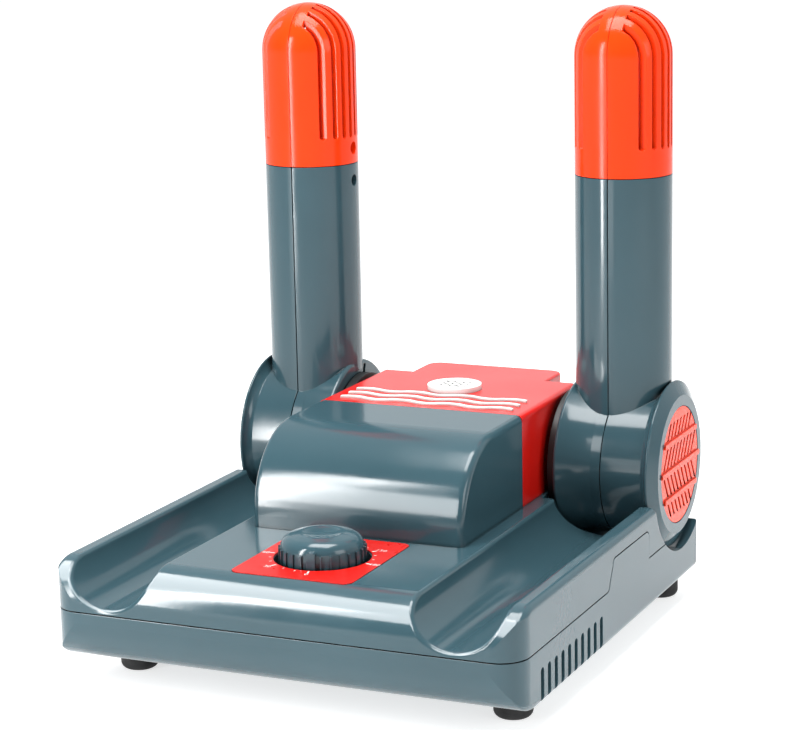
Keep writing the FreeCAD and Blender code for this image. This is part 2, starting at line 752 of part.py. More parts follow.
def build_inner_shell():
    barrel, rim = D.barrel_radius, D.rim_radius
    end, wall = SEAM + 10, D.tube_wall
    side = D.rim_side
    body, rise = arm_solid("right_inner_shell", [
        (side, 0), (end, 0), (end, barrel), (SEAM - 6, barrel, -60), (side + 2, rim, 2), (side, rim - 2)])
    hollow_arm(body, [
        (side + wall, 0), (end + 1, 0), (end + 1, barrel - wall), (SEAM - 6, barrel - wall),
        (side + wall, rim - wall - 1.5)], rise)
    # the tube stays behind the end wall's plane beside the pivot
    pocket(body, "YZ", side - 1, side, lambda sketch: rectangle(sketch, -15, 15, 0, 42))
    trim(body, SEAM - D.seam_gap, SEAM + D.tube_radius + MARGIN, rise)
    pocket(body, "YZ", side - 1, side + wall + 1, lambda sketch: circle(
        sketch, 0, 0, D.spigot_radius + D.spigot_play))
    # tall narrow stop slot in the rim of the end wall
    pocket(body, "YZ", side - 1, side + 1.6, lambda sketch: outline(sketch, [
        (5, rim - 12), (9, rim - 12), (11, rim - 4), (8, rim - 3.4)]))
    # screw hole and its boss near the top of the tube
    height = rise - 10
    bore = D.tube_radius - D.tube_wall
    pad(body, "YZ", SEAM - bore - 0.6, SEAM - D.seam_gap, lambda sketch: circle(sketch, 0, height, 5.4))
    pocket(body, "YZ", SEAM - D.tube_radius - 1, SEAM - 4, lambda sketch: circle(sketch, 0, height, 3.5))
    pocket(body, "YZ", SEAM - 6, SEAM + 1, lambda sketch: circle(sketch, 0, height, 1.7))
    return keep(body, "right_inner_shell")


def build_cap(side, label):
    """Half of a slotted cap: a round shell with a domed end; its neck plugs into the tube."""
    body = new_body(label + "_body", (SEAM, D.pivot_rear, 0))
    radius, wall = D.tube_radius, D.tube_wall
    dome, low = D.cap_top - D.tube_radius, D.tube_top + 0.5
    neck = radius - wall - 0.3
    foot = low - 4.5
    revolve(body, [(0, foot), (neck, foot), (neck, low), (radius, low),
                   (radius, dome, radius), (0, dome + radius)])
    revolve(body, [(0, foot - 1), (neck - wall, foot - 1), (neck - wall, low), (radius - wall, low + 3),
                   (radius - wall, dome, radius - wall), (0, dome + radius - wall)], cut=True)
    half = D.slot_width / 2
    first, high = -(D.slot_pitch * 3.5), D.cap_top + MARGIN
    outer_side = side > 0
    low_side, high_side = (D.slot_reach, radius + 2) if outer_side else (-radius - 2, -D.slot_reach)
    slot = pocket(body, "YZ", low_side, high_side, lambda sketch: outline(sketch, [
        (first + half, D.slot_bottom + half), (first + half, high), (first - half, high),
        (first - half, D.slot_bottom + half, half), (first, D.slot_bottom, half)]))
    repeat(body, slot, "Y", D.slot_pitch, 8)
    reach = radius + MARGIN
    gap = D.seam_gap / 2
    cut_low, cut_high = (-reach, gap) if outer_side else (-gap, reach)
    hole = D.tube_top + 9.5
    if outer_side:
        pad(body, "YZ", gap, radius - 2, lambda sketch: circle(sketch, 0, hole, 3.6))
    else:
        pad(body, "YZ", -radius + 2, -gap, lambda sketch: circle(sketch, 0, hole, 5.4))
    pocket(body, "YZ", cut_low, cut_high, lambda sketch: rectangle(
        sketch, -reach, reach, low - MARGIN * 3, high))
    if outer_side:
        pocket(body, "YZ", -1, 14, lambda sketch: circle(sketch, 0, hole, 1.2))
    else:
        pocket(body, "YZ", -radius - 1, -4, lambda sketch: circle(sketch, 0, hole, 3.8))
        pocket(body, "YZ", -6, 1, lambda sketch: circle(sketch, 0, hole, 1.7))
    return keep(body, label)


def build_grille():
    """The red side grille: a disc with three raised bars and four rows of slanted slots."""
    body = arm_body("right_grille")
    back, face = D.face_side - 1.7, D.face_side - 0.2
    radius = D.grille_radius
    pad(body, "YZ", back, face, lambda sketch: circle(sketch, 0, 0, radius))
    rows = ((18.5, 27.5, 1, 7), (2.2, 14.5, 1, 9), (-14.5, -2.2, -1, 9), (-27.5, -18.5, -1, 7))
    width, pitch, lean = 2.4, 6.3, 0.62

    def slots(sketch):
        for low, high, direction, count in rows:
            shift = (high - low) * lean * direction
            for index in range(count):
                start = (index - (count - 1) / 2) * pitch - shift / 2
                outline(sketch, [(start - width / 2, low), (start + width / 2, low),
                                 (start + shift + width / 2, high), (start + shift - width / 2, high)])
    pocket(body, "YZ", back - 1, face + 1, slots)

    def bars(sketch):
        for height, half in ((-16.4, 29.2), (0, 34.3), (16.4, 29.2)):
            rounded_rectangle(sketch, -half, half, height - 1.5, height + 1.5, 0.7)
    pad(body, "YZ", face - 0.2, D.face_side + 1.0, bars)
    return keep(body, "right_grille")


def build_arm_screws():
    """Two countersunk screws per arm: one through the tube, one through the cap."""
    heights = (D.tube_top - 10, D.tube_top + 9.5)
    pieces = []
    for index, height in enumerate(heights):
        shank = cylinder(f"arm_screw_shank_{index}", "X", (SEAM - 6.2, D.pivot_rear, height), 1.2, 18)
        head = cylinder(f"arm_screw_head_{index}", "X", (SEAM - 9, D.pivot_rear, height), 3, 3)
        pieces.append(cut(f"arm_screw_{index}", join(f"arm_screw_solid_{index}", [shank, head]), box(
            f"arm_screw_slit_{index}", SEAM - 10, SEAM - 8, D.pivot_rear - 2.2, D.pivot_rear + 2.2,
            height - 0.4, height + 0.4)))
    group = doc.addObject("Part::Compound", "right_arm_screws")
    group.Links = pieces
    return keep(group, "right_arm_screws")


def build_arms():
    pieces = [build_outer_shell(), build_inner_shell(), build_cap(1, "right_cap_outer"),
              build_cap(-1, "right_cap_inner"), build_grille(), build_arm_screws()]
    for piece in pieces:
        mirrored_sub_part(piece, piece.Label.replace("right", "left"))


def turned_about_pivot(label, corners):
    body = arm_body(label + "_body")
    revolve(body, corners, "horizontal")
    return keep(body, label)


def build_trunnions():
    """Hollow pivots: a sleeve into the plenum, a collar, and the spigot that the arm turns on."""
    spigot, bore, sleeve = D.spigot_radius, D.sleeve_bore, D.sleeve_radius
    collar_in, collar_out, tip = D.well_inner + 0.2, D.rim_side - 0.5, D.rim_side + 7
    right = turned_about_pivot("right_trunnion", [
        (52.4, bore), (52.4, sleeve), (collar_in, sleeve), (collar_in, 40), (collar_out, 40), (collar_out, 38),
        (collar_out - 1.2, 38), (collar_out - 1.2, 31), (collar_out, 31), (collar_out, spigot),
        (tip, spigot), (tip, spigot - 3), (collar_out, bore)])
    mirrored_sub_part(right, "left_trunnion")
    ring = D.rim_side + D.tube_wall + 0.3
    right = turned_about_pivot("right_retainer_ring", [
        (ring, spigot), (ring + 2, spigot), (ring + 2, spigot + 6), (ring, spigot + 6)])
    mirrored_sub_part(right, "left_retainer_ring")
    right = turned_about_pivot("right_friction_ring", [
        (collar_out - 1.2, 31.1), (collar_out + 0.2, 31.1), (collar_out + 0.2, 37.9), (collar_out - 1.2, 37.9)])
    mirrored_sub_part(right, "left_friction_ring")


# ---------------------------------------------------------------- blower, heater, air path

def build_motor():
    radius, shaft, seat = D.motor_radius, D.shaft_radius, 8
    turned("motor_can", [
        (seat, 30), (radius, 30), (radius, 60), (11, 60), (11, D.blower_floor), (seat, D.blower_floor),
        (seat, 66), (4, 66), (4, 58), (14.5, 58), (14.5, 36), (seat, 36)])
    inner = shaft + D.bearing_play
    bearings = doc.addObject("Part::Compound", "motor_bearings")
    rings = []
    for index, low in enumerate((30.5, 66.5)):
        outer = cylinder(f"bearing_outside_{index}", "Z", (0, 0, low), seat, 5)
        hole = cylinder(f"bearing_bore_{index}", "Z", (0, 0, low - 1), inner, 7)
        rings.append(cut(f"bearing_{index}", outer, hole))
    bearings.Links = rings
    keep(bearings, "motor_bearings")
    turned("motor_shaft", [(0, 29.6), (shaft, 29.6), (shaft, 98), (0, 98)])
    turned("motor_rotor", [(shaft, 38.5), (13.9, 38.5), (13.9, 55.5), (shaft, 55.5)])

    plate = new_body("motor_bracket")
    low, high = D.deck_height, D.blower_floor
    pad(plate, "XY", low, high, lambda sketch: rounded_rectangle(sketch, -50, 50, -44, 44.5, 4))
    pad(plate, "XY", low, high, lambda sketch: rectangle(sketch, -54.5, 54.5, -19, 35))
    pocket(plate, "XY", low - 1, high + 1, lambda sketch: circle(sketch, 0, 0, 11))
    hole = pocket(plate, "XY", low - 1, high + 1, lambda sketch: circle(sketch, 18, 0, 5))
    around(plate, hole, 8)
    keep(plate, "motor_bracket")


def build_impeller():
    """A squirrel-cage impeller: back plate, hub, thirty slanted blades and a top ring."""
    body = new_body("impeller")
    radius, shaft = D.impeller_radius, D.shaft_radius
    low, high = D.blower_floor + 3, D.blower_top - 4
    revolve(body, [(shaft, low + 1.6), (radius, low + 1.6), (radius, low), (shaft, low)])
    revolve(body, [(shaft, low), (7, low), (7, low + 14), (shaft, low + 14)])
    blade = pad(body, "XY", low + 1, high - 1, lambda sketch: outline(sketch, [
        (radius - 8, 0), (radius - 7.4, -1), (radius - 0.4, 2.6), (radius - 0.8, 3.6)]))
    around(body, blade, 30)
    revolve(body, [(radius - 8.5, high - 1.4), (radius, high - 1.4), (radius, high), (radius - 8.5, high)])
    keep(body, "impeller")


def build_blower():
    outer, inner = D.blower_radius, D.blower_radius - 2
    left, right, rear = D.duct_left, D.duct_right, 46
    low, high = D.blower_floor, D.blower_top
    housing = new_body("blower_housing")
    pad(housing, "XY", low, high, lambda sketch: circle(sketch, 0, 0, outer))
    pad(housing, "XY", low, high, lambda sketch: rectangle(sketch, left, right, 0, rear))
    pocket(housing, "XY", low - 1, high + 1, lambda sketch: circle(sketch, 0, 0, inner))
    pocket(housing, "XY", low - 1, high + 1, lambda sketch: rectangle(sketch, left + 2, right - 2, 6, rear + 1))
    keep(housing, "blower_housing")
    lid = new_body("blower_lid")
    pad(lid, "XY", high, high + 2, lambda sketch: circle(sketch, 0, 0, outer))
    pad(lid, "XY", high, high + 2, lambda sketch: rectangle(sketch, left, right, 0, rear))
    keep(lid, "blower_lid")


def build_heater():
    left, right, front, rear = D.duct_left, D.duct_right, 46.3, 84
    low, high = D.blower_floor, D.blower_top
    duct = new_body("heater_duct")
    pad(duct, "XZ", front, rear, lambda sketch: rounded_rectangle(sketch, left, right, low, high, 2))
    pocket(duct, "XZ", front - 1, rear + 1, lambda sketch: rectangle(
        sketch, left + 2, right - 2, low + 2, high - 2))
    keep(duct, "heater_duct")
    fins = new_body("heater_fins")
    fin = pad(fins, "XY", low + 4, low + 4.6, lambda sketch: rectangle(
        sketch, left + 5.2, right - 5.2, 58, 68))
    repeat(fins, fin, "Z", 3.4, 7)
    keep(fins, "heater_fins")
    bars = new_body("heater_bars")

    def two(sketch):
        rectangle(sketch, left + 2.2, left + 5.2, 57, 69)
        rectangle(sketch, right - 5.2, right - 2.2, 57, 69)
    pad(bars, "XY", low + 3, high - 3, two)
    keep(bars, "heater_bars")
    turned("thermostat", [(0, high), (8, high), (8, high + 4), (5, high + 4), (5, high + 6), (0, high + 6)],
           (12, 66, 0))
    keep(cylinder("thermal_fuse", "X", (24, 60, high + 2.2), 2.2, 12), "thermal_fuse")


def build_plenum():
    """The air box behind the heater, with a port for each trunnion sleeve."""
    front, rear, low, high = 84.3, 120.6, D.deck_height + 0.2, D.blower_top + 6
    side = 52
    body = new_body("air_plenum")
    pad(body, "XY", low, high, lambda sketch: rounded_rectangle(sketch, -side, side, front, rear, 3))
    pocket(body, "XY", low + 1.4, high - 1.4, lambda sketch: rounded_rectangle(
        sketch, -side + 1.4, side - 1.4, front + 1.4, rear - 1.4, 2))
    pocket(body, "XZ", front - 1, front + 3, lambda sketch: rectangle(
        sketch, D.duct_left + 2, D.duct_right - 2, D.blower_floor + 2, D.blower_top - 2))
    pocket(body, "YZ", -side - 1, side + 1, lambda sketch: circle(
        sketch, D.pivot_rear, D.pivot_height, D.sleeve_bore))
    keep(body, "air_plenum")


# ---------------------------------------------------------------- electrics and fasteners

def build_electrics():
    block = new_body("terminal_block")
    low = D.case_bottom + D.wall
    pad(block, "XY", low, low + 14, lambda sketch: rectangle(sketch, -56, -26, 84, 98))
    screw = pocket(block, "XY", low + 8, low + 15, lambda sketch: circle(sketch, -51, 91, 2.4))
    repeat(block, screw, "X", 10, 3)
    keep(block, "terminal_block")

    gland = new_body("cord_gland", (CORD_PLACE[0], D.case_rear, CORD_PLACE[1]))
    rings = ((-7, -2.6, 8.5), (-2.6, 0, CORD_HOLE_RADIUS), (0, 3, 8.5), (3, 9, 5.6))
    for low, high, radius in rings:
        pad(gland, "XZ", low, high, lambda sketch: circle(sketch, 0, 0, radius))
    pocket(gland, "XZ", -8, 10, lambda sketch: circle(sketch, 0, 0, 3.5))
    keep(gland, "cord_gland")

    keep(wiring(), "wiring")


def wiring():
    """Insulated wires as straight runs with round elbows."""
    low = DIMENSIONS["case_bottom"] + DIMENSIONS["wall"]
    knob = DIMENSIONS["knob_place"]
    radius = 1.3
    routes = (
        ((-51, 84, low + 5), (-51, 70, low + 5), (-40, 70, low + 5), (-40, knob, low + 5), (-40, knob, 52),
         (-20, knob, 52)),
        ((-41, 84, low + 9), (-41, 74, low + 9), (-30, 74, low + 9), (-30, 14, low + 9), (-20.5, 14, low + 9),
         (-20.5, 14, 33), (-17.2, 14, 33)),
        ((-31, 84, low + 5), (-31, 78, low + 5), (12, 78, low + 5), (12, 78, 73.8)))
    wires = []
    for route in routes:
        points = [FreeCAD.Vector(*point) for point in route]
        runs = [Part.makeCylinder(radius, (end - start).Length, start, end - start)
                for start, end in zip(points, points[1:])]
        elbows = [Part.makeSphere(radius, point) for point in points[1:-1]]
        wires.append(runs[0].multiFuse(runs[1:] + elbows))
    item = doc.addObject("Part::Feature", "wiring")
    item.Shape = Part.makeCompound(wires)
    return item


def build_screws():
    """Six case screws in one group; each has a recessed head under the tray."""
    body = new_body("case_screws")

    def at_each(radius):
        def circles(sketch):
            for across, back in CASE_SCREWS:
                circle(sketch, across, back, radius)
                circle(sketch, -across, back, radius)
        return circles
    head_low = D.case_bottom + 0.6
    pad(body, "XY", head_low, D.case_bottom + 3.2, at_each(3.1))
    pad(body, "XY", D.case_bottom + 3.2, D.deck_height - 8, at_each(1.4))
    pocket(body, "XY", head_low - 1, head_low + 1.4, lambda sketch: [
        rectangle(sketch, sign * across - 2, sign * across + 2, back - 0.5, back + 0.5)
        for across, back in CASE_SCREWS for sign in (1, -1)])
    keep(body, "case_screws")


# ---------------------------------------------------------------- build, check, write

def check_and_write():
    doc.recompute()
    for item in doc.Objects:
        if "Invalid" in item.State or "Error" in item.State:
            raise RuntimeError(f"{item.Name} failed: {item.State}")
    os.makedirs("parts", exist_ok=True)
    for name in os.listdir("parts"):
        os.remove(os.path.join("parts", name))
    for item in sub_parts:
        shape = item.Shape
        if shape.isNull() or not shape.isValid() or not shape.Solids:
            raise RuntimeError(f"{item.Label}: bad shape")
        if any(solid.Volume <= 0 for solid in shape.Solids):
            raise RuntimeError(f"{item.Label}: a solid has no volume")
        shape.exportStep(os.path.join("parts", item.Label + ".step"))
        print(f"{item.Label:24s} solids {len(shape.Solids):3d} volume {shape.Volume:10.1f}")


write_sheet()
build_case()
build_feet()
build_hood()
build_cover()
build_marks()
build_dial()
build_arms()
build_trunnions()
build_motor()
build_impeller()
build_blower()
build_heater()
build_plenum()
build_electrics()
build_screws()
check_and_write()
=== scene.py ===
import json
import math

import bmesh
import bpy
from mathutils import Matrix, Vector


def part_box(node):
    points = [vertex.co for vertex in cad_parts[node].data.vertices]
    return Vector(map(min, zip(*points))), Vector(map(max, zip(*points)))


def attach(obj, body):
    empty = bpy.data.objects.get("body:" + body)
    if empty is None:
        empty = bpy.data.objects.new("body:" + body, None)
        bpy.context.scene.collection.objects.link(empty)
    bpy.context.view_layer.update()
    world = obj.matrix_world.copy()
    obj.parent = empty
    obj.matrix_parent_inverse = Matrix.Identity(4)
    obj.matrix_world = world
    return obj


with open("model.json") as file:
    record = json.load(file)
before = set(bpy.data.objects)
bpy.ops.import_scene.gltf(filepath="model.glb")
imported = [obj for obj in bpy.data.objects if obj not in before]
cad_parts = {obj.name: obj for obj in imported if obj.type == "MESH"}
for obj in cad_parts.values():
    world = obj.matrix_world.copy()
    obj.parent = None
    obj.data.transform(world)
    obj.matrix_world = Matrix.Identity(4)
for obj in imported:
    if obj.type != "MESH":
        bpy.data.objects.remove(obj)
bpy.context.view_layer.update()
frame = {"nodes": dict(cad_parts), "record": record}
nodes = frame["nodes"]
MM = 0.001

# ---------------------------------------------------------------- materials


def rgb(red, green, blue):
    """A display colour, 0 to 255 a channel, as the linear colour that shaders use."""
    def linear(value):
        value /= 255
        return value / 12.92 if value <= 0.04045 else ((value + 0.055) / 1.055) ** 2.4
    return (linear(red), linear(green), linear(blue), 1.0)


class Tree:
    """Short ways to add and link shader nodes in one material."""

    def __init__(self, name):
        self.material = bpy.data.materials.new(name)
        self.material.use_nodes = True
        self.nodes = self.material.node_tree.nodes
        self.links = self.material.node_tree.links
        self.shader = self.nodes["Principled BSDF"]
        self.place = self.add("ShaderNodeTexCoord").outputs["Object"]

    def add(self, kind, **settings):
        node = self.nodes.new(kind)
        for key, value in settings.items():
            if hasattr(node, key):
                setattr(node, key, value)
            else:
                node.inputs[key.replace("_", " ")].default_value = value
        return node

    def link(self, source, target):
        self.links.new(source, target)

    def noise(self, scale, detail=3.0, roughness=0.5):
        node = self.add("ShaderNodeTexNoise", Scale=scale, Detail=detail, Roughness=roughness)
        self.link(self.place, node.inputs["Vector"])
        return node.outputs["Fac"]

    def ramp(self, value, low, high, first, last):
        """Maps a value between two limits onto numbers."""
        node = self.add("ShaderNodeMapRange", clamp=True)
        self.link(value, node.inputs["Value"])
        for key, number in (("From Min", low), ("From Max", high), ("To Min", first), ("To Max", last)):
            node.inputs[key].default_value = number
        return node.outputs["Result"]

    def mix(self, factor, first, second):
        """Mixes two colours; each is a colour or a socket."""
        node = self.add("ShaderNodeMix", data_type="RGBA")
        self.link(factor, node.inputs["Factor"])
        for key, value in ((6, first), (7, second)):
            if isinstance(value, tuple):
                node.inputs[key].default_value = value
            else:
                self.link(value, node.inputs[key])
        return node.outputs[2]

    def edges(self, radius):
        """1 on the object's edges and 0 away from them, and the normal with the edges rounded."""
        bevel = self.add("ShaderNodeBevel", samples=6, Radius=radius)
        geometry = self.add("ShaderNodeNewGeometry")
        dot = self.add("ShaderNodeVectorMath", operation="DOT_PRODUCT")
        self.link(bevel.outputs["Normal"], dot.inputs[0])
        self.link(geometry.outputs["Normal"], dot.inputs[1])
        return self.ramp(dot.outputs["Value"], 0.995, 0.80, 0.0, 1.0), bevel.outputs["Normal"]

    def open_air(self, reach):
        """1 where the surface is open, towards 0 in slots, seams and other narrow places; the mask for
        painted shade.
        """
        node = self.add("ShaderNodeAmbientOcclusion", samples=8)
        node.inputs["Distance"].default_value = reach
        return node.outputs["AO"]

    def bump(self, height, distance, strength, normal=None):
        node = self.add("ShaderNodeBump", Strength=strength, Distance=distance)
        self.link(height, node.inputs["Height"])
        if normal is not None:
            self.link(normal, node.inputs["Normal"])
        self.link(node.outputs["Normal"], self.shader.inputs["Normal"])


def shade(colour, factor):
    return tuple(min(1.0, channel * factor) for channel in colour[:3]) + (1.0,)


SLOT_SHADE_REACH = 5 * MM        # how near a facing wall has to be for shade to be painted on a surface
PAINTED_SLOT_SHADE = 0.12          # the share of the colour that is left deep in a slot, as painted shade


def moulded_plastic(name, colour, roughness, texture=0.02 * MM, edge=0.5 * MM, specular=0.5):
    """Injection-moulded plastic: faint flow mottling, handling smudges, orange-peel skin, painted highlights
    on edges and painted shade in slots and seams."""
    tree = Tree(name)
    edge_mask, soft_normal = tree.edges(edge)
    mottle = tree.noise(9.0, 4.0)
    tone = tree.mix(tree.ramp(mottle, 0.35, 0.65, 0.0, 1.0), shade(colour, 0.94), shade(colour, 1.06))
    # painted highlight: the edges are lightened to half again the colour
    edge_highlighted = tree.mix(tree.ramp(edge_mask, 0.0, 1.0, 0.0, 0.35), tone, shade(colour, 1.5))
    # painted shade: slots, seams and narrow places darken towards a small share of the colour
    unshaded_share = tree.ramp(tree.open_air(SLOT_SHADE_REACH), 0.30, 0.72, 0.0, 1.0)
    tree.link(tree.mix(unshaded_share, shade(colour, PAINTED_SLOT_SHADE), edge_highlighted), tree.shader.inputs["Base Color"])
    smudge = tree.ramp(tree.noise(22.0, 5.0, 0.65), 0.38, 0.68, roughness * 0.85, roughness * 1.35)
    tree.link(smudge, tree.shader.inputs["Roughness"])
    tree.shader.inputs["Specular IOR Level"].default_value = specular
    tree.bump(tree.noise(420.0, 2.0), texture, 0.6, soft_normal)
    return tree.material


def rubber(name, colour):
    tree = Tree(name)
    edge_mask, soft_normal = tree.edges(0.6 * MM)
    dust = tree.ramp(tree.noise(60.0, 5.0, 0.7), 0.45, 0.75, 0.0, 0.5)
    tone = tree.mix(dust, colour, shade(colour, 2.2))
    # painted highlight: the edges are lightened
    tree.link(tree.mix(tree.ramp(edge_mask, 0.0, 1.0, 0.0, 0.5), tone, shade(colour, 3.0)),
              tree.shader.inputs["Base Color"])
    tree.link(tree.ramp(tree.noise(130.0), 0.3, 0.7, 0.62, 0.85), tree.shader.inputs["Roughness"])
    tree.bump(tree.noise(900.0, 4.0), 0.06 * MM, 0.8, soft_normal)
    return tree.material


BRUSHING = (1.0, 1.0, 30.0)


def metal(name, colour, roughness):
    """Bare or plated metal with fine lines from machining."""
    tree = Tree(name)
    stretch = tree.add("ShaderNodeMapping")
    stretch.inputs["Scale"].default_value = BRUSHING
    tree.link(tree.place, stretch.inputs["Vector"])
    lines = tree.add("ShaderNodeTexNoise", Scale=400.0, Detail=2.0)
    tree.link(stretch.outputs["Vector"], lines.inputs["Vector"])
    tree.shader.inputs["Metallic"].default_value = 1.0
    tone = tree.mix(tree.noise(80.0), shade(colour, 0.85), shade(colour, 1.1))
    tree.link(tone, tree.shader.inputs["Base Color"])
    tree.link(tree.ramp(lines.outputs["Fac"], 0.3, 0.7, roughness * 0.7, roughness * 1.3),
              tree.shader.inputs["Roughness"])
    tree.bump(lines.outputs["Fac"], 0.01 * MM, 0.5)
    return tree.material


SLATE = (0.031, 0.068, 0.084, 1.0)
ORANGE_RED = (0.86, 0.040, 0.003, 1.0)
RED = (0.62, 0.010, 0.006, 1.0)

materials = {
    "slate": moulded_plastic("slate_gloss_plastic", SLATE, 0.13, specular=0.4),
    "cap": moulded_plastic("orange_red_gloss_plastic", ORANGE_RED, 0.18, specular=0.2),
    "cover": moulded_plastic("red_gloss_plastic", RED, 0.19, specular=0.4),
    "plate": moulded_plastic("red_printed_film", shade(RED, 0.8), 0.3, texture=0.01 * MM, specular=0.15),
    "white": moulded_plastic("white_moulded_marks", rgb(238, 238, 236), 0.3, edge=0.4 * MM),
    "black": moulded_plastic("black_matt_plastic", rgb(22, 23, 24), 0.45, texture=0.05 * MM),
    "natural": moulded_plastic("natural_plastic", rgb(205, 200, 188), 0.4),
    "ceramic": moulded_plastic("heater_ceramic", rgb(224, 218, 204), 0.6, texture=0.08 * MM),
    "wire": moulded_plastic("wire_sleeve", rgb(150, 22, 20), 0.4),
    "rubber": rubber("foot_rubber", rgb(20, 20, 21)),
    "steel": metal("zinc_plated_steel", rgb(190, 192, 195), 0.3),
    "motor": metal("motor_steel", rgb(120, 122, 126), 0.42),
    "aluminium": metal("heater_aluminium", rgb(214, 216, 220), 0.3),
}

FINISH = {"slate_plastic": "slate", "white_marks": "white", "black_plastic": "black", "rubber_feet": "rubber",
          "natural_plastic": "natural", "steel": "steel", "motor_paint": "motor", "aluminium": "aluminium",
          "ceramic": "ceramic", "wire_sleeve": "wire"}


def finish_of(node, slot):
    """Which material a CAD node gets: by its slot, with the red pieces told apart."""
    if slot != "red_plastic":
        return FINISH[slot]
    if node == "dial_plate":
        return "plate"
    return "cover" if node == "top_cover" else "cap"


def dress_cad():
    for entry in frame["record"]["subparts"]:
        item = nodes[entry["node"]]
        item.data.materials.clear()
        item.data.materials.append(materials[finish_of(entry["node"], entry["material_slot"])])


dress_cad()

# ---------------------------------------------------------------- printed dial scale

plate_low, plate_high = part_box("dial_plate")
knob_low, knob_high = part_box("timer_knob")
dial_centre = Vector(((knob_low.x + knob_high.x) / 2, (knob_low.y + knob_high.y) / 2, plate_high.z))
INK = 0.06 * MM              # thickness of the print
SCALE_START = -90 + 10.7     # degrees from +X: the knob's pointer at rest
SCALE_STEP = 16.0            # degrees from tick to tick
TICK_COUNT = 19
LONG_TICK = 3                # every third tick is long and numbered
MINUTES = 10                 # from tick to tick
TICK_START = 27.4 * MM
LONG_END, SHORT_END = 30.2 * MM, 28.8 * MM
NUMBER_REACH = 32.6 * MM
NUMBER_SIZE = 4.2 * MM
NUMBER_MARGIN = 2.6 * MM


def scale_direction(step):
    """The way from the knob's middle to a tick."""
    angle = math.radians(SCALE_START - step * SCALE_STEP)
    return Vector((math.cos(angle), math.sin(angle)))


def flat_piece(name, outlines, low, material):
    """Thin flat shapes, each given by its outline in the row frame, as one mesh that rides on the base."""
    mesh = bmesh.new()
    for outline in outlines:
        bottom = [mesh.verts.new((x, y, low)) for x, y in outline]
        face = mesh.faces.new(bottom)
        pushed = bmesh.ops.extrude_face_region(mesh, geom=[face])
        lifted = [item for item in pushed["geom"] if isinstance(item, bmesh.types.BMVert)]
        bmesh.ops.translate(mesh, verts=lifted, vec=(0, 0, INK))
    bmesh.ops.recalc_face_normals(mesh, faces=mesh.faces)
    data = bpy.data.meshes.new(name)
    mesh.to_mesh(data)
    mesh.free()
    item = bpy.data.objects.new(name, data)
    bpy.context.scene.collection.objects.link(item)
    item.data.materials.append(material)
    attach(item, "base")


def dial_ticks():
    """A tick at every ten minutes, longer at each half hour, around the knob's cup."""
    ticks = []
    for step in range(TICK_COUNT):
        out = scale_direction(step)
        across = Vector((-out.y, out.x))
        long = step % LONG_TICK == 0
        start = dial_centre.xy + out * TICK_START
        end = dial_centre.xy + out * (LONG_END if long else SHORT_END)
        side = across * (0.45 if long else 0.3) * MM
        ticks.append([start - side, end - side, end + side, start + side])
    flat_piece("dial_ticks", ticks, dial_centre.z, materials["white"])


def dial_numbers():
    """Minutes printed beside every long tick, kept inside the plate's edges."""
    limit_x = (plate_high.x - plate_low.x) / 2 - NUMBER_MARGIN
    for step in range(0, TICK_COUNT, LONG_TICK):
        spot = dial_centre + scale_direction(step).to_3d() * NUMBER_REACH
        spot.x = max(-limit_x, min(limit_x, spot.x))
        curve = bpy.data.curves.new(f"dial_number_{step * MINUTES}", "FONT")
        curve.body = str(step * MINUTES)
        curve.size = NUMBER_SIZE
        curve.align_x = "CENTER"
        curve.align_y = "CENTER"
        curve.extrude = INK / 2
        item = bpy.data.objects.new(f"dial_number_{step * MINUTES}", curve)
        item.location = spot + Vector((0, 0, INK / 2))
        bpy.context.scene.collection.objects.link(item)
        curve.materials.append(materials["white"])
        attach(item, "base")


dial_ticks()
dial_numbers()

# ---------------------------------------------------------------- floor, light, camera


def add_floor():
    """A wide pale floor that gives off a little light, so that its shadow stays faint."""
    mesh = bpy.data.meshes.new("floor")
    side = 30.0
    corners = [(-side, -side, 0), (side, -side, 0), (side, side, 0), (-side, side, 0)]
    mesh.from_pydata(corners, [], [(0, 1, 2, 3)])
    floor = bpy.data.objects.new("floor", mesh)
    bpy.context.scene.collection.objects.link(floor)
    tree = Tree("pale_floor")
    tree.link(tree.mix(tree.noise(3.0), (0.60, 0.60, 0.60, 1), (0.62, 0.62, 0.62, 1)),
              tree.shader.inputs["Base Color"])
    tree.shader.inputs["Emission Color"].default_value = (1, 1, 1, 1)
    tree.shader.inputs["Emission Strength"].default_value = 0.68
    tree.shader.inputs["Roughness"].default_value = 0.9
    tree.shader.inputs["Specular IOR Level"].default_value = 0.1
    floor.data.materials.append(tree.material)


def add_softbox(name, centre, target, width, height, power, lights_only=None):
    """A rectangular light. With lights_only it shows only in the gloss of those nodes."""
    light = bpy.data.lights.new(name, "AREA")
    light.shape = "RECTANGLE"
    light.size = width
    light.size_y = height
    light.energy = power
    item = bpy.data.objects.new(name, light)
    item.location = centre
    item.rotation_euler = (Vector(target) - Vector(centre)).to_track_quat("-Z", "Y").to_euler()
    item.visible_camera = False
    bpy.context.scene.collection.objects.link(item)
    if lights_only:
        item.visible_diffuse = False
        receivers = bpy.data.collections.new(name + "_receivers")
        for node in lights_only:
            receivers.objects.link(nodes[node])
        item.light_linking.receiver_collection = receivers


CARD_SHIFT = -0.48           # sideways for each unit of distance: the camera looks from the other side


def add_highlight_card(name, middle, rise, spread, width, distance, radiance, lights_only):
    """A card ahead of a surface: its height angle above the front horizon, and the angle that it fills."""
    rise, spread = math.radians(rise), math.radians(spread)
    sideways = CARD_SHIFT * distance
    centre = Vector(middle) + Vector((sideways, -math.cos(rise) * distance, math.sin(rise) * distance))
    reach = math.hypot(distance, sideways)
    height = 2 * reach * math.tan(spread / 2)
    add_softbox(name, centre, middle, width, height, radiance * math.pi * width * height, lights_only)


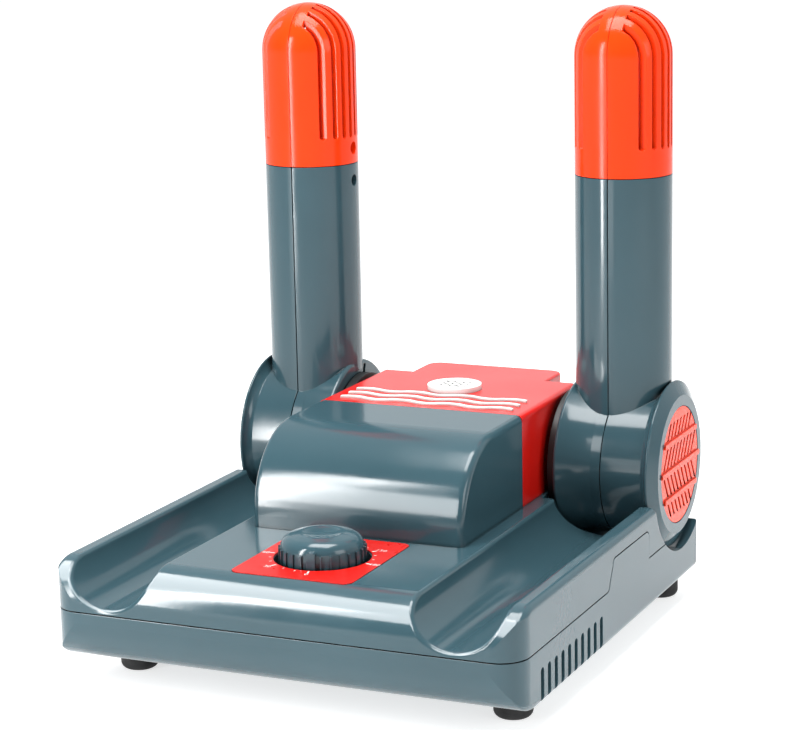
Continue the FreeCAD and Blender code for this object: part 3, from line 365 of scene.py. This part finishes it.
def add_world():
    """A bright studio that is a little darker in front of the object than behind it."""
    world = bpy.data.worlds.new("studio")
    bpy.context.scene.world = world
    world.use_nodes = True
    tree = world.node_tree
    place = tree.nodes.new("ShaderNodeTexCoord")
    split = tree.nodes.new("ShaderNodeSeparateXYZ")
    tree.links.new(place.outputs["Generated"], split.inputs["Vector"])
    shift = tree.nodes.new("ShaderNodeMapRange")
    shift.interpolation_type = "SMOOTHSTEP"
    for key, number in (("From Min", -0.7), ("From Max", 0.6), ("To Min", 0.18), ("To Max", 0.95)):
        shift.inputs[key].default_value = number
    tree.links.new(split.outputs["Y"], shift.inputs["Value"])
    studio = tree.nodes["Background"]
    tree.links.new(shift.outputs["Result"], studio.inputs["Strength"])
    white = tree.nodes.new("ShaderNodeBackground")
    white.inputs["Strength"].default_value = 1.0
    white.inputs["Color"].default_value = (1, 1, 1, 1)
    studio.inputs["Color"].default_value = (0.95, 0.98, 1.0, 1)
    ray = tree.nodes.new("ShaderNodeLightPath")
    choose = tree.nodes.new("ShaderNodeMixShader")
    tree.links.new(ray.outputs["Is Camera Ray"], choose.inputs["Fac"])
    tree.links.new(studio.outputs["Background"], choose.inputs[1])
    tree.links.new(white.outputs["Background"], choose.inputs[2])
    tree.links.new(choose.outputs["Shader"], tree.nodes["World Output"].inputs["Surface"])


LENS = 110.26
CAMERA_PLACE = (0.56227, -1.23125, 0.44393)
CAMERA_ANGLES = (24.3, -11.96, -1.19)        # turn, tip and roll in degrees


def add_camera():
    """The camera at the photograph's viewing angle."""
    data = bpy.data.cameras.new("camera")
    data.sensor_width = 36.0
    data.lens = LENS
    data.clip_end = 100
    item = bpy.data.objects.new("camera", data)
    turn, tip, roll = (math.radians(angle) for angle in CAMERA_ANGLES)
    aim = (Matrix.Rotation(turn, 4, "Z") @ Matrix.Rotation(math.pi / 2 + tip, 4, "X")
           @ Matrix.Rotation(roll, 4, "Z"))
    item.matrix_world = Matrix.Translation(CAMERA_PLACE) @ aim
    bpy.context.scene.collection.objects.link(item)
    bpy.context.scene.camera = item


add_floor()
add_world()
add_softbox("left_strip", (-0.45, -0.75, 0.42), (-0.05, 0.1, 0.25), width=0.10, height=0.8, power=9)
add_softbox("overhead", (0.0, -0.1, 1.5), (0, 0, 0), width=1.0, height=0.8, power=34)
add_softbox("right_fill", (1.6, -0.5, 0.7), (0.1, 0, 0.1), width=0.8, height=0.8, power=9)
add_highlight_card("nose_card", (0.0, -0.15, 0.065), rise=63, spread=42, width=1.5, distance=0.8,
                   radiance=17.0, lights_only=["lower_case", "upper_case"])
add_highlight_card("hood_card", (0.0, -0.05, 0.09), rise=20, spread=24, width=1.3, distance=1.0,
                   radiance=13.0, lights_only=["front_hood"])
add_highlight_card("outer_drum_card", (0.11, 0.063, 0.09), rise=2, spread=26, width=0.8, distance=1.0,
                   radiance=2.6, lights_only=["left_outer_shell", "right_outer_shell"])
add_highlight_card("inner_drum_card", (0.085, 0.067, 0.10), rise=38, spread=22, width=0.8, distance=1.0,
                   radiance=6.5, lights_only=["left_inner_shell", "right_inner_shell"])
add_camera()

bpy.context.scene.view_settings.view_transform = "Standard"
bpy.context.scene.view_settings.look = "None"
